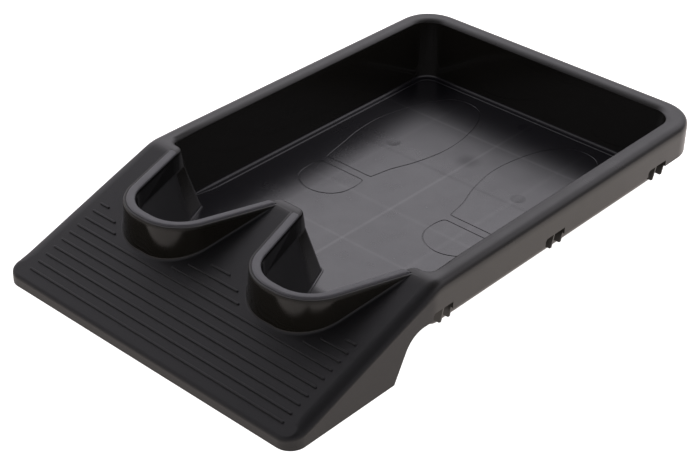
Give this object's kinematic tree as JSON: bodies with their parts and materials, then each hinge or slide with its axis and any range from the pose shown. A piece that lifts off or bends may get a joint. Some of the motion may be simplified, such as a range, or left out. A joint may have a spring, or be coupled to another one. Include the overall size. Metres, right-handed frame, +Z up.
{
  "type": "boot tray with boot jacks",
  "caption": "Black moulded drip tray for boots with a ribbed treadle ramp and U-shaped heel pockets whose soft-gripped rims pull boots off.",
  "frame": {"origin": "centre of the footprint, at ground level", "axes": "+Z up, +Y from the ramp towards the back of the basin, +X to the right of a person standing at the ramp"},
  "size_m": [0.4, 0.656, 0.083],
  "materials": {
    "tray_plastic": "satin black moulded polypropylene, finely grained on the ramp and glossier on the basin floor",
    "grip_rubber": "satin dark grey thermoplastic rubber",
    "foot_rubber": "matt black rubber"
  },
  "bodies": {
    "root": {"tray_shell": "tray_plastic", "heel_grip_left": "grip_rubber", "heel_grip_right": "grip_rubber", "foot_left": "foot_rubber", "foot_right": "foot_rubber", "foot_rear": "foot_rubber"}
  },
  "joints": []
}
